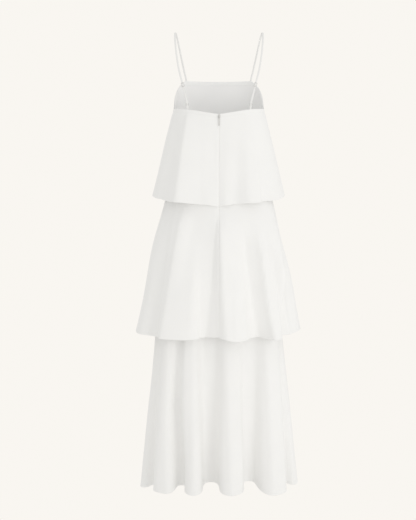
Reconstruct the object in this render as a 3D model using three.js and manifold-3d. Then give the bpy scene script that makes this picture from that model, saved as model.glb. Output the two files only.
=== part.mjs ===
// Maxi dress: three overlapping tiers on a fitted sheath, thin straps, and a zip at the centre back.
// Millimetres, +Z up. The origin lies midway between the crowns of the straps, at their underside.
// The front faces -Y, the back +Y, and the wearer's left is +X.

import * as THREE from "three";
import { mergeVertices } from "three/addons/utils/BufferGeometryUtils.js";
import Module from "manifold-3d";

// Driving sizes
const CLOTH = 1.2; // thickness of one cloth wall
const GAP = 0.3; // left between two pieces that meet
const SWELL = 0.035; // how far the corners of an oval section swell past an ellipse
const TIER2_SEAM = 400; // below the strap crown, where the middle tier is sewn on
const SHEATH_HEM = 720; // below the strap crown, where the bottom tier is sewn on
const ZIP_END = 626; // below the strap crown, where the zip stops
const STRAP = { width: 4, thick: 2.2 }; // a narrow rolled strap, pressed flat
const OPENING = 1.1; // above 1, a fold opens slowly at first and faster towards the hem
const TIER3_OPENING = 0.9; // below 1, a fold opens faster at first

// Heights are given as "down", the distance below the strap crown. Angles run round the body in
// degrees: 0 at the wearer's left side, 90 at the centre back, 180 at the right side, 270 in front.
const CENTRE_BACK = 90;
const RIGHT_SIDE = 180;
const LEFT_SIDE = 360;
const FULL_TURN = 360;
const STRAP_CORNER = 135.5; // from the centre back round to the front end of a strap

// The line of the zip: how far the sheath's outer face lies behind the axis at the centre back.
const ZIP_LINE = [
  { down: 131, back: 98 },
  { down: 236, back: 96.5 },
  { down: 310, back: 94 },
  { down: 400, back: 92.5 },
  { down: 500, back: 97 },
  { down: 626, back: 110 },
  { down: 720, back: 119 },
  { down: 900, back: 125 },
];

// Half width and front depth of the sheath's outer face.
const SHEATH = [
  { down: 131, half: 130.5, front: 105 },
  { down: 214, half: 131.5, front: 112 },
  { down: 270, half: 132.5, front: 115 },
  { down: 350, half: 131, front: 108 },
  { down: 430, half: 131, front: 99 },
  { down: 520, half: 140, front: 99 },
  { down: 626, half: 156, front: 107 },
  { down: 720, half: 166, front: 113 },
];

// Outer faces of the tiers. "off" is how far the back stands off the line of the zip.
const TIER1 = [
  { down: 131, half: 132.1, front: 106.8, off: 1.5 },
  { down: 214, half: 133.4, front: 114.2, off: 1.5 },
  { down: 250, half: 142, front: 117, off: 1.5 },
  { down: 390, half: 176.8, front: 124, off: 3.4 },
  { down: 430, half: 186.7, front: 127, off: 4.4 },
  { down: 505, half: 205, front: 131, off: 5.6 },
];
const TIER2 = [
  { down: 400, half: 134.9, front: 103.2, off: 1.9 },
  { down: 430, half: 143, front: 106, off: 2.4 },
  { down: 505, half: 163.3, front: 113.2, off: 2.3 },
  { down: 540, half: 172.7, front: 116.1, off: 6 },
  { down: 570, half: 180.8, front: 118.7, off: 9 },
  { down: 631, half: 196.5, front: 124, off: 13 },
  { down: 709, half: 213.7, front: 130, off: 17 },
  { down: 814, half: 235.2, front: 136, off: 19 },
  { down: 892, half: 251, front: 140, off: 20 },
];
const TIER3 = [
  { down: 720, half: 166, front: 113, back: 119 },
  { down: 800, half: 176, front: 114, back: 116 },
  { down: 896, half: 188.5, front: 115, back: 113 },
  { down: 1043, half: 201, front: 116, back: 110 },
  { down: 1234, half: 218, front: 117, back: 108 },
  { down: 1376, half: 229, front: 118, back: 107 },
];

// Height of the neckline, by the angle from the centre back round either side to the centre front.
const NECKLINE = [
  { from_back: 0, down: 236 },
  { from_back: 12, down: 231 },
  { from_back: 28, down: 225 },
  { from_back: 42, down: 221.5 },
  { from_back: 75, down: 219.5 },
  { from_back: 90, down: 217 },
  { from_back: 98, down: 194 },
  { from_back: 109, down: 170 },
  { from_back: 122, down: 150 },
  { from_back: 129, down: 141 },
  { from_back: 135.5, down: 134.5 },
  { from_back: 160, down: 135.5 },
  { from_back: 180, down: 136 },
];

// Folds, one row for each crest or trough in its order round the body. "top" and "hem" are its
// angles there, "level" how far it stands out at the hem, "down" where its hem hangs, "wall" how
// steep the cloth is towards the next row, "lean" where that wall stands between them, and "from"
// the share of the tier's length at which it starts.
const TIER1_FOLDS = [
  { top: 90, hem: 90, level: 0, down: 501, wall: 0, lean: 0, from: 0 },
  { top: 97, hem: 95, level: 5, down: 497, wall: 0.3, lean: 0, from: 0.1 },
  { top: 108, hem: 101.5, level: 1, down: 494, wall: 0, lean: 0, from: 0.1 },
  { top: 121, hem: 113, level: 17, down: 490, wall: 0.5, lean: 0, from: 0 },
  { top: 143, hem: 134, level: -5, down: 486, wall: 0.2, lean: 0, from: 0.2 },
  { top: 180, hem: 180, level: 0, down: 475, wall: 0.1, lean: 0, from: 0 },
  { top: 206, hem: 208, level: -6, down: 482, wall: 0.3, lean: 0, from: 0.25 },
  { top: 225.5, hem: 229, level: 12, down: 489, wall: 0.4, lean: 0, from: 0 },
  { top: 250, hem: 252, level: -5, down: 491, wall: 0.4, lean: 0, from: 0.3 },
  { top: 272, hem: 271, level: 8, down: 493, wall: 0.3, lean: 0, from: 0.2 },
  { top: 291, hem: 290, level: -4, down: 491, wall: 0.4, lean: 0, from: 0.3 },
  { top: 314.5, hem: 312, level: 14, down: 489, wall: 0.4, lean: 0, from: 0 },
  { top: 334, hem: 333, level: -5, down: 482, wall: 0.2, lean: 0, from: 0.25 },
  { top: 360, hem: 360, level: 0, down: 475, wall: 0.1, lean: 0, from: 0 },
  { top: 390, hem: 392, level: -2, down: 481, wall: -0.4, lean: 0, from: 0.2 },
  { top: 411, hem: 419, level: 21, down: 489, wall: -0.4, lean: 0, from: 0 },
  { top: 432, hem: 438, level: 4, down: 495, wall: 0.2, lean: 0, from: 0.1 },
  { top: 450, hem: 450, level: 0, down: 501, wall: 0, lean: 0, from: 0 },
];
// The sheath is smooth, and its rows stand where the top tier's begin, so the two lie together.
const SHEATH_FOLDS = TIER1_FOLDS.map(({ top }) => {
  return { top, hem: top, level: 0, down: SHEATH_HEM - GAP, wall: 0, lean: 0, from: 0 };
});
const TIER2_FOLDS = [
  { top: 90, hem: 90, level: 4, down: 878, wall: -0.8, lean: 0, from: 0.1 },
  { top: 104, hem: 99, level: 18, down: 888, wall: 0.4, lean: 0, from: 0.2 },
  { top: 122, hem: 114.5, level: -14, down: 885, wall: -0.3, lean: 0, from: 0.1 },
  { top: 166, hem: 126, level: 22, down: 886, wall: 0.8, lean: 0, from: 0.05 },
  { top: 178, hem: 138, level: -14, down: 883, wall: 0.4, lean: 0, from: 0.05 },
  { top: 180, hem: 180, level: 0, down: 879, wall: 0.1, lean: 0, from: 0 },
  { top: 200, hem: 206, level: -9, down: 884, wall: 0.6, lean: 0, from: 0.1 },
  { top: 218, hem: 225, level: 22, down: 889, wall: 0.6, lean: 0, from: 0.1 },
  { top: 240, hem: 243, level: 2, down: 884, wall: 0.5, lean: 0, from: 0.25 },
  { top: 258, hem: 258, level: 18, down: 889, wall: 0.5, lean: 0, from: 0.2 },
  { top: 276, hem: 273, level: -4, down: 884, wall: 0.6, lean: 0, from: 0.3 },
  { top: 296, hem: 290, level: 20, down: 890, wall: 0.5, lean: 0, from: 0.2 },
  { top: 318, hem: 309, level: 3, down: 885, wall: 0.6, lean: 0, from: 0.25 },
  { top: 338, hem: 325, level: 16, down: 886, wall: 0.6, lean: 0, from: 0.1 },
  { top: 352, hem: 343, level: -8, down: 882, wall: 0.3, lean: 0, from: 0.1 },
  { top: 360, hem: 360, level: 0, down: 879, wall: 0.1, lean: 0, from: 0 },
  { top: 366, hem: 382, level: 3, down: 884, wall: 0.3, lean: 0, from: 0.1 },
  { top: 391, hem: 404, level: -14, down: 886, wall: 1.05, lean: -0.25, from: 0.05 },
  { top: 405, hem: 428, level: 14, down: 886, wall: 0.6, lean: 0.2, from: 0.1 },
  { top: 443, hem: 441.5, level: -18, down: 883, wall: -0.8, lean: 0, from: 0.25 },
  { top: 450, hem: 450, level: 4, down: 878, wall: 0, lean: 0, from: 0.1 },
];
const TIER3_FOLDS = [
  { top: 2, hem: 6, level: 12, down: 1374, wall: 0.8, lean: 0, from: 0 },
  { top: 19.5, hem: 31.5, level: -25, down: 1362, wall: 1.05, lean: -0.2, from: 0 },
  { top: 39, hem: 52, level: 31, down: 1362, wall: 0.9, lean: 0.1, from: 0 },
  { top: 50, hem: 60.6, level: -21, down: 1351, wall: 0.9, lean: -0.15, from: 0 },
  { top: 67, hem: 72.5, level: 43, down: 1357, wall: 0.9, lean: 0.05, from: 0 },
  { top: 77, hem: 84.5, level: -37, down: 1343, wall: 0.8, lean: -0.05, from: 0 },
  { top: 99, hem: 97.8, level: 42, down: 1356, wall: 1, lean: 0.1, from: 0 },
  { top: 118, hem: 112.3, level: -38, down: 1342, wall: 0.7, lean: -0.12, from: 0 },
  { top: 143, hem: 129.5, level: 37, down: 1365, wall: 1.1, lean: 0.2, from: 0 },
  { top: 168, hem: 151, level: -25, down: 1359, wall: 0.9, lean: 0, from: 0 },
  { top: 186, hem: 176, level: 17, down: 1365, wall: 0.8, lean: 0, from: 0 },
  { top: 203, hem: 203, level: -26, down: 1358, wall: 0.9, lean: 0, from: 0 },
  { top: 219, hem: 222, level: 30, down: 1362, wall: 0.9, lean: 0, from: 0 },
  { top: 236, hem: 238, level: -36, down: 1348, wall: 1, lean: 0, from: 0 },
  { top: 254, hem: 254, level: 43, down: 1358, wall: 0.9, lean: 0, from: 0 },
  { top: 269, hem: 268, level: -38, down: 1346, wall: 0.9, lean: 0, from: 0 },
  { top: 284, hem: 283, level: 39, down: 1357, wall: 1, lean: 0, from: 0 },
  { top: 300, hem: 297, level: -40, down: 1347, wall: 0.9, lean: 0, from: 0 },
  { top: 318, hem: 311.5, level: 34, down: 1361, wall: 0.9, lean: 0, from: 0 },
  { top: 338, hem: 332, level: -26, down: 1360, wall: 0.8, lean: 0, from: 0 },
  { top: 362, hem: 366, level: 12, down: 1374, wall: 0.8, lean: 0, from: 0 },
];

// Route of the left strap's centre line from its front foot over the shoulder towards its adjuster.
const STRAP_ROUTE = [
  { x: 104.5, y: -77, z: -104 },
  { x: 112, y: -58, z: -68 },
  { x: 119.5, y: -35, z: -30 },
  { x: 124.5, y: -17, z: -7 },
  { x: 127.5, y: 0, z: 2 },
  { x: 128.5, y: 17, z: -6 },
  { x: 127, y: 35, z: -30 },
  { x: 123, y: 51, z: -66 },
  { x: 116, y: 63, z: -108 },
];

// Strap fittings: the left adjuster and ring, at their centres.
const ADJUSTER = { x: 105, y: 72.5, z: -151, half: 4.6, tall: 12, thick: 1, bar: 1.2, corner: 1.7 };
const RING = { x: 91.5, y: 81.5, z: -208, radius: 3.8, wire: 0.8 };
const TAB_FOOT = 39; // from the centre back round to a strap's back foot, in degrees
const SEAT = 0.5; // a strap's foot stands this far over the neckline's edge
const FOOT_RISE = 4; // a strap leaves the neckline straight up for this far
const STRAP_SIDES = 8;

// The strap's way through the adjuster and back: along it, and out of its plane. It runs under the
// upper bar, over the middle one and under the lower one, and returns from the ring to the middle.
const WEAVE = [
  { along: 13, out: -1.4 },
  { along: 5.4, out: -2.5 },
  { along: 0, out: 2.5 },
  { along: -5.4, out: -2.5 },
];
const RETURN = [
  { along: -13, out: -5 },
  { along: -5.4, out: -5.2 },
  { along: -2.4, out: -3.8 },
  { along: 0, out: -2.2 },
  { along: 1.4, out: -2.2 },
];

// Zip fittings, at the centre back
const TAPE = { turn: 10, top: 240, end: ZIP_END + 19, rows: 10, thick: 0.8 };
const SLIDER = { shoulder: 3.7, tail: 2.8, height: 11.5, thick: 2.4, top: 236.5 };
const HINGE_DOWN = 242.5;
const HINGE_STAND = 1.6; // from the slider's face out to the crossbar of the pull
const BRIDGE = { inner: 1.3, outer: 2.6, width: 1.2, sunk: 0.4 };
const PULL = { length: 27, thick: 1, rail: 1.7, half: 1.9, window: 0.95, slot: 4.4 };

// Colours and finishes
const WHITE_CLOTH = { color: 0xf3f1ea, roughness: 0.8, metalness: 0 };
const WHITE_TAPE = { color: 0xeeece6, roughness: 0.85, metalness: 0 };
const WHITE_STRAP = { color: 0xf1efe8, roughness: 0.7, metalness: 0 };
const WHITE_METAL = { color: 0xd8d6d1, roughness: 0.4, metalness: 0.3 };

const dress = new THREE.Group();
const radians = THREE.MathUtils.degToRad;
const lerp = THREE.MathUtils.lerp;

function addMesh(name, geometry, look, parent = dress) {
  const mesh = new THREE.Mesh(geometry, new THREE.MeshStandardMaterial(look));
  mesh.name = name;
  parent.add(mesh);
  return mesh;
}

// A smooth curve through one column of a table that never overshoots its rows.
function columnAt(rows, key, at, by = "down") {
  const last = rows.length - 1;
  if (at <= rows[0][by]) return rows[0][key];
  if (at >= rows[last][by]) return rows[last][key];
  const span = (i) => rows[i + 1][by] - rows[i][by];
  const rise = (i) => (rows[i + 1][key] - rows[i][key]) / span(i);
  const slope = (i) => {
    if (i === 0) return rise(0);
    if (i === last) return rise(last - 1);
    const before = rise(i - 1);
    const after = rise(i);
    if (before * after <= 0) return 0;
    const weightBefore = span(i - 1) + 2 * span(i);
    const weightAfter = 2 * span(i - 1) + span(i);
    return (weightBefore + weightAfter) / (weightBefore / after + weightAfter / before);
  };
  const i = rows.findIndex((row, index) => index < last && at < rows[index + 1][by]);
  const t = (at - rows[i][by]) / span(i);
  const [t2, t3] = [t * t, t * t * t];
  return (
    (2 * t3 - 3 * t2 + 1) * rows[i][key] +
    (t3 - 2 * t2 + t) * span(i) * slope(i) +
    (3 * t2 - 2 * t3) * rows[i + 1][key] +
    (t3 - t2) * span(i) * slope(i + 1)
  );
}

const zipLine = (down) => columnAt(ZIP_LINE, "back", down);

// Half width and depths of a garment layer at a height.
function sectionAt(rows, down) {
  const back =
    "back" in rows[0]
      ? columnAt(rows, "back", down)
      : zipLine(down) + ("off" in rows[0] ? columnAt(rows, "off", down) : 0);
  return { half: columnAt(rows, "half", down), front: columnAt(rows, "front", down), back };
}

function necklineDown(deg) {
  const turn = THREE.MathUtils.euclideanModulo(deg - CENTRE_BACK, FULL_TURN);
  return columnAt(NECKLINE, "down", Math.min(turn, FULL_TURN - turn), "from_back");
}

// A point of an oval section, moved out along its normal by "level".
function ovalPoint(section, deg, level, down) {
  const a = radians(deg);
  const depth = Math.sin(a) > 0 ? section.back : section.front;
  const full = 1 - SWELL;
  const x = (section.half * (Math.cos(a) - SWELL * Math.cos(3 * a))) / full;
  const y = (depth * (Math.sin(a) + SWELL * Math.sin(3 * a))) / full;
  const outX = depth * (Math.cos(a) + 3 * SWELL * Math.cos(3 * a));
  const outY = section.half * (Math.sin(a) - 3 * SWELL * Math.sin(3 * a));
  const length = Math.hypot(outX, outY);
  return new THREE.Vector3(x + (level * outX) / length, y + (level * outY) / length, -down);
}

// How far a fold that starts at "from" has opened at the share s of the tier's length.
const opened = (s, from, opening) => Math.max(0, (s - from) / (1 - from)) ** opening;

// The outer face of a tier: u counts the rows of its folds, s runs from its top edge to its hem.
function tierPoint(tier, u, s) {
  const i = Math.min(Math.floor(u), tier.folds.length - 2);
  const t = u - i;
  const [a, b] = [tier.folds[i], tier.folds[i + 1]];
  const open = opened(s, Math.min(a.from, b.from), tier.opening);
  const swing = (a.wall * Math.sin(2 * Math.PI * t)) / (2 * Math.PI);
  const across = t + open * (swing + a.lean * Math.sin(Math.PI * t) ** 2);
  const blend = (1 - Math.cos(Math.PI * t)) / 2;
  const deg = lerp(lerp(a.top, b.top, across), lerp(a.hem, b.hem, across), s);
  const [levelA, levelB] = [a, b].map((row) => row.level * opened(s, row.from, tier.opening));
  const level = lerp(levelA, levelB, blend);
  const down = lerp(tier.topDown(deg), lerp(a.down, b.down, blend), s);
  return ovalPoint(sectionAt(tier.sections, down), deg, level, down);
}

const layer = (sections, folds, topDown, opening) => ({ sections, folds, topDown, opening });
const SHEATH_LAYER = layer(SHEATH, SHEATH_FOLDS, necklineDown, OPENING);
const TIER1_LAYER = layer(TIER1, TIER1_FOLDS, necklineDown, OPENING);
const TIER2_LAYER = layer(TIER2, TIER2_FOLDS, () => TIER2_SEAM, OPENING);
const TIER3_LAYER = layer(TIER3, TIER3_FOLDS, () => SHEATH_HEM, TIER3_OPENING);

// The direction straight out of a surface whose u runs round the body and whose s runs down it.
function outward(surface, u, s, lastU) {
  const step = 1e-3;
  const [u0, u1] = [Math.max(u - step, 0), Math.min(u + step, lastU)];
  const [s0, s1] = [Math.max(s - step, 0), Math.min(s + step, 1)];
  const round = surface(u1, s).sub(surface(u0, s));
  const fall = surface(u, s1).sub(surface(u, s0));
  return fall.cross(round).normalize();
}

// The columns of a panel between two rows of the fold table, closer together where folds need it.
function panelColumns(layer, first, last, widest, fewest) {
  const columns = [];
  for (let i = first; i < last; i++) {
    const turn = layer.folds[i + 1].top - layer.folds[i].top;
    const count = Math.max(fewest, Math.ceil(turn / widest));
    for (let n = 0; n < count; n++) columns.push(i + n / count);
  }
  columns.push(last);
  return columns;
}

// A closed wall of cloth: an outer grid, an inner grid one thickness in, and the edges.
function wallGeometry(surface, columns, rows, thick, lastU) {
  const lastColumn = columns.length - 1;
  const positions = [];
  const grids = [0, thick].map((depth) =>
    columns.map((u, c) =>
      Array.from({ length: rows + 1 }, (_, r) => {
        const s = r / rows;
        const point = surface(u, s);
        const beside = surface(columns[c === 0 ? 1 : c - 1], s);
        const isEdge = c === 0 || c === lastColumn;
        const inset = beside.sub(point).setLength(isEdge ? GAP / 2 : 0);
        point.add(inset).addScaledVector(outward(surface, u, s, lastU), -depth);
        positions.push(point.x, point.y, point.z);
        return positions.length / 3 - 1;
      }),
    ),
  );
  const [outer, inner] = grids;
  const faces = [];
  const addQuad = (a, b, c, d) => faces.push(a, b, c, a, c, d);
  for (let c = 0; c < lastColumn; c++) {
    for (let r = 0; r < rows; r++) {
      addQuad(outer[c][r], outer[c][r + 1], outer[c + 1][r + 1], outer[c + 1][r]);
      addQuad(inner[c][r], inner[c + 1][r], inner[c + 1][r + 1], inner[c][r + 1]);
    }
    addQuad(outer[c][0], outer[c + 1][0], inner[c + 1][0], inner[c][0]);
    addQuad(outer[c][rows], inner[c][rows], inner[c + 1][rows], outer[c + 1][rows]);
  }
  for (let r = 0; r < rows; r++) {
    addQuad(outer[0][r], inner[0][r], inner[0][r + 1], outer[0][r + 1]);
    addQuad(
      outer[lastColumn][r],
      outer[lastColumn][r + 1],
      inner[lastColumn][r + 1],
      inner[lastColumn][r],
    );
  }
  const geometry = new THREE.BufferGeometry();
  geometry.setAttribute("position", new THREE.Float32BufferAttribute(positions, 3));
  geometry.setIndex(faces);
  geometry.computeVertexNormals();
  return geometry;
}

// The row of a fold table that stands at a side seam, the centre back or a corner.
const rowAt = (layer, deg) => layer.folds.findIndex((row) => row.hem === deg);

function addPanels(layer, panels) {
  for (const { name, first, last, rows, widest, fewest } of panels) {
    const surface = (u, s) => tierPoint(layer, u, s);
    const columns = panelColumns(layer, first, last, widest, fewest);
    const lastU = layer.folds.length - 1;
    addMesh(name, wallGeometry(surface, columns, rows, CLOTH, lastU), WHITE_CLOTH);
  }
}

function halvesAndFront(name, layer, grid) {
  const right = rowAt(layer, RIGHT_SIDE);
  const left = rowAt(layer, LEFT_SIDE);
  const end = layer.folds.length - 1;
  return [
    { name: `${name}_back_right`, first: 0, last: right, ...grid, rows: grid.backRows },
    { name: `${name}_front`, first: right, last: left, ...grid },
    { name: `${name}_back_left`, first: left, last: end, ...grid, rows: grid.backRows },
  ];
}

addPanels(
  SHEATH_LAYER,
  halvesAndFront("sheath", SHEATH_LAYER, { rows: 11, backRows: 10, widest: 9, fewest: 4 }),
);
addPanels(
  TIER1_LAYER,
  halvesAndFront("tier1", TIER1_LAYER, { rows: 8, backRows: 6, widest: 9, fewest: 3 }),
);
addPanels(
  TIER2_LAYER,
  halvesAndFront("tier2", TIER2_LAYER, { rows: 8, backRows: 8, widest: 8, fewest: 4 }),
);
const tier3Grid = { rows: 9, widest: 9, fewest: 5 };
const rightCrest = TIER3_FOLDS.findIndex((row) => row.hem === 176);
addPanels(TIER3_LAYER, [
  { name: "tier3_back", first: 0, last: rightCrest, ...tier3Grid },
  { name: "tier3_front", first: rightCrest, last: TIER3_FOLDS.length - 1, ...tier3Grid },
]);

// Straps: a flat roll along its route, woven through an adjuster and turned round a ring, with a
// looped tab that holds the ring to the neckline.
const ACROSS = new THREE.Vector3(1, 0, 0);

class Route extends THREE.CatmullRomCurve3 {
  // Steps follow the route's points, so that tight bends get more of them.
  getPointAt(t, target) {
    return this.getPoint(t, target);
  }

  getTangentAt(t, target) {
    return this.getTangent(t, target);
  }

  // The strap's width stays as level across the body as its direction allows.
  computeFrenetFrames(segments) {
    const tangents = Array.from({ length: segments + 1 }, (_, i) => this.getTangent(i / segments));
    const normals = tangents.map((tangent) => ACROSS.clone().projectOnPlane(tangent).normalize());
    const binormals = tangents.map((tangent, i) => tangent.clone().cross(normals[i]));
    return { tangents, normals, binormals };
  }
}

function strapAlong(points) {
  const section = new THREE.Shape();
  for (let i = 0; i < STRAP_SIDES; i++) {
    const a = (2 * Math.PI * i) / STRAP_SIDES;
    const [x, y] = [(STRAP.width / 2) * Math.cos(a), (STRAP.thick / 2) * Math.sin(a)];
    if (i === 0) section.moveTo(x, y);
    else section.lineTo(x, y);
  }
  section.closePath();
  return new THREE.ExtrudeGeometry(section, {
    steps: 2 * (points.length - 1),
    extrudePath: new Route(points),
    bevelEnabled: false,
  });
}

// A point just above the neckline, midway between the sheath's wall and the top tier's.
function necklineSeat(deg) {
  const down = necklineDown(deg);
  return ovalPoint(sectionAt(SHEATH, down), deg, GAP / 2, down - SEAT);
}

const moved = (point, y, z) => point.clone().add(new THREE.Vector3(0, y, z));

// Half a turn of strap from the back of the ring's wire to its front, below (-1) or above (1) it.
function turnRoundWire(wire, over) {
  const radius = STRAP.thick / 2 + RING.wire + GAP;
  return [90, 45, 0, -45, -90].map((deg) =>
    moved(wire, radius * Math.sin(radians(deg)), over * radius * Math.cos(radians(deg))),
  );
}

// A flat frame with two slots, drawn round its centre.
function adjusterGeometry() {
  const { half, tall, thick, bar, corner } = ADJUSTER;
  const end = tall / 2;
  const frame = new THREE.Shape();
  frame.moveTo(0, -end);
  frame.lineTo(half - corner, -end);
  frame.quadraticCurveTo(half, -end, half, -end + corner);
  frame.lineTo(half, end - corner);
  frame.quadraticCurveTo(half, end, half - corner, end);
  frame.lineTo(-half + corner, end);
  frame.quadraticCurveTo(-half, end, -half, end - corner);
  frame.lineTo(-half, -end + corner);
  frame.quadraticCurveTo(-half, -end, -half + corner, -end);
  frame.closePath();
  for (const side of [-1, 1]) {
    const [near, far] = [(side * bar) / 2, side * (end - bar)];
    const slot = new THREE.Path();
    slot.moveTo(-half + bar, near);
    slot.lineTo(half - bar, near);
    slot.lineTo(half - bar, far);
    slot.lineTo(-half + bar, far);
    slot.closePath();
    frame.holes.push(slot);
  }
  return new THREE.ExtrudeGeometry(frame, {
    depth: thick,
    bevelEnabled: false,
    curveSegments: 3,
  }).translate(0, 0, -thick / 2);
}

for (const [side, name] of [
  [1, "left"],
  [-1, "right"],
]) {
  const at = (row) => new THREE.Vector3(side * row.x, row.y, row.z);
  const over = STRAP_ROUTE.map(at);
  const centre = at(ADJUSTER);
  const ringCentre = at(RING);
  const upperWire = moved(ringCentre, 0, RING.radius);
  const lowerWire = moved(ringCentre, 0, -RING.radius);

  // The adjuster lies flat on the strap, between the shoulder and the ring.
  const along = over.at(-1).clone().sub(upperWire).normalize();
  const level = ACROSS.clone().projectOnPlane(along).normalize();
  const out = along.clone().cross(level);
  const beside = (row) =>
    centre.clone().addScaledVector(along, row.along).addScaledVector(out, row.out);

  const frontFoot = necklineSeat(CENTRE_BACK - side * STRAP_CORNER);
  const route = [
    frontFoot,
    moved(frontFoot, 0, FOOT_RISE),
    ...over,
    ...WEAVE.map(beside),
    ...turnRoundWire(upperWire, -1),
    ...RETURN.map(beside),
  ];
  addMesh(`strap_${name}`, strapAlong(route), WHITE_STRAP);

  const adjuster = addMesh(`strap_adjuster_${name}`, adjusterGeometry(), WHITE_METAL);
  adjuster.setRotationFromMatrix(new THREE.Matrix4().makeBasis(level, along, out.clone().negate()));
  adjuster.position.copy(centre);

  const ring = addMesh(
    `strap_ring_${name}`,
    new THREE.TorusGeometry(RING.radius, RING.wire, 8, 20),
    WHITE_METAL,
  );
  ring.rotation.x = Math.PI / 2;
  ring.position.copy(ringCentre);

  const backFoot = necklineSeat(CENTRE_BACK - side * TAB_FOOT);
  const footApart = (STRAP.thick + GAP) / 2;
  const tab = [
    moved(backFoot, footApart, 0),
    ...turnRoundWire(lowerWire, 1),
    moved(backFoot, -footApart, 0),
  ];
  addMesh(`strap_tab_${name}`, strapAlong(tab), WHITE_STRAP);
}

// Zip: the closed tape inside the sheath, the slider with its bridge, and the pull on the bridge.
addMesh(
  "zip_tape",
  wallGeometry(
    (u, s) => {
      const down = lerp(TAPE.top, TAPE.end, s);
      const deg = CENTRE_BACK + (u - 0.5) * TAPE.turn;
      return ovalPoint(sectionAt(SHEATH, down), deg, -CLOTH - 2 * GAP, down);
    },
    [0, 0.5, 1],
    TAPE.rows,
    TAPE.thick,
    1,
  ),
  WHITE_TAPE,
);

const wasm = await Module();
wasm.setup();

function toSolid(geometry) {
  const bare = geometry.clone();
  bare.deleteAttribute("normal");
  bare.deleteAttribute("uv");
  const merged = mergeVertices(bare);
  return new wasm.Manifold(
    new wasm.Mesh({
      numProp: 3,
      vertProperties: new Float32Array(merged.attributes.position.array),
      triVerts: new Uint32Array(merged.index.array),
    }),
  );
}

function toGeometry(solid) {
  const mesh = solid.getMesh();
  const geometry = new THREE.BufferGeometry();
  geometry.setAttribute("position", new THREE.BufferAttribute(mesh.vertProperties, 3));
  geometry.setIndex(new THREE.BufferAttribute(mesh.triVerts, 1));
  geometry.computeVertexNormals();
  return geometry;
}

// The slider's parts are drawn round the pull's hinge: x across, y up and z out of the cloth.
function sliderGeometry() {
  const up = HINGE_DOWN - SLIDER.top;
  const low = up - SLIDER.height;
  const outline = new THREE.Shape();
  outline.moveTo(-SLIDER.tail, low + 1.5);
  outline.quadraticCurveTo(-SLIDER.tail, low, -SLIDER.tail + 1.5, low);
  outline.lineTo(SLIDER.tail - 1.5, low);
  outline.quadraticCurveTo(SLIDER.tail, low, SLIDER.tail, low + 1.5);
  outline.lineTo(SLIDER.shoulder, up - 2);
  outline.quadraticCurveTo(SLIDER.shoulder, up, SLIDER.shoulder - 2, up);
  outline.lineTo(-SLIDER.shoulder + 2, up);
  outline.quadraticCurveTo(-SLIDER.shoulder, up, -SLIDER.shoulder, up - 2);
  outline.closePath();
  const body = new THREE.ExtrudeGeometry(outline, {
    depth: SLIDER.thick,
    bevelEnabled: false,
    curveSegments: 4,
  }).translate(0, 0, -HINGE_STAND - SLIDER.thick);

  const foot = -HINGE_STAND - BRIDGE.sunk;
  const arch = new THREE.Shape();
  arch.moveTo(foot, -BRIDGE.outer);
  arch.lineTo(0, -BRIDGE.outer);
  arch.absarc(0, 0, BRIDGE.outer, -Math.PI / 2, Math.PI / 2, false);
  arch.lineTo(foot, BRIDGE.outer);
  arch.lineTo(foot, BRIDGE.inner);
  arch.lineTo(0, BRIDGE.inner);
  arch.absarc(0, 0, BRIDGE.inner, Math.PI / 2, -Math.PI / 2, true);
  arch.lineTo(foot, -BRIDGE.inner);
  arch.closePath();
  const bridge = new THREE.ExtrudeGeometry(arch, {
    depth: BRIDGE.width,
    bevelEnabled: false,
    curveSegments: 10,
  });
  bridge.translate(0, 0, -BRIDGE.width / 2).rotateY(-Math.PI / 2);
  return toGeometry(toSolid(body).add(toSolid(bridge)));
}

function pullGeometry() {
  const tip = -PULL.length;
  const neck = -PULL.slot - PULL.thick;
  const top = PULL.thick / 2;
  const outline = new THREE.Shape();
  outline.moveTo(-PULL.rail, top);
  outline.lineTo(-PULL.rail, neck);
  outline.lineTo(-PULL.half * 0.6, neck - 2);
  outline.lineTo(-PULL.half, tip + 5);
  outline.absarc(0, tip + PULL.half, PULL.half, Math.PI, 2 * Math.PI, false);
  outline.lineTo(PULL.half, tip + 5);
  outline.lineTo(PULL.half * 0.6, neck - 2);
  outline.lineTo(PULL.rail, neck);
  outline.lineTo(PULL.rail, top);
  outline.closePath();
  const slot = new THREE.Path();
  slot.moveTo(-PULL.window, -top);
  slot.lineTo(PULL.window, -top);
  slot.lineTo(PULL.window, -PULL.slot);
  slot.lineTo(-PULL.window, -PULL.slot);
  slot.closePath();
  outline.holes.push(slot);
  const pull = new THREE.ExtrudeGeometry(outline, {
    depth: PULL.thick,
    bevelEnabled: false,
    curveSegments: 8,
  });
  return pull.translate(0, 0, -PULL.thick / 2);
}

const hinge = new THREE.Group();
const clothFace = zipLine(HINGE_DOWN) + columnAt(TIER1, "off", HINGE_DOWN);
hinge.position.set(0, clothFace + GAP + SLIDER.thick + HINGE_STAND, -HINGE_DOWN);
hinge.rotation.set(Math.PI / 2, Math.PI, 0);
addMesh("zip_slider", sliderGeometry(), WHITE_METAL, hinge);
addMesh("zip_pull", pullGeometry(), WHITE_METAL, hinge);
dress.add(hinge);

export default dress;
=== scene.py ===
"""Maxi dress seen from behind: three flared tiers on a fitted sheath, thin adjustable straps and a
concealed zip. Sizes are in millimetres, as a maker gives them, and meshes are made in metres."""

import math

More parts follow.
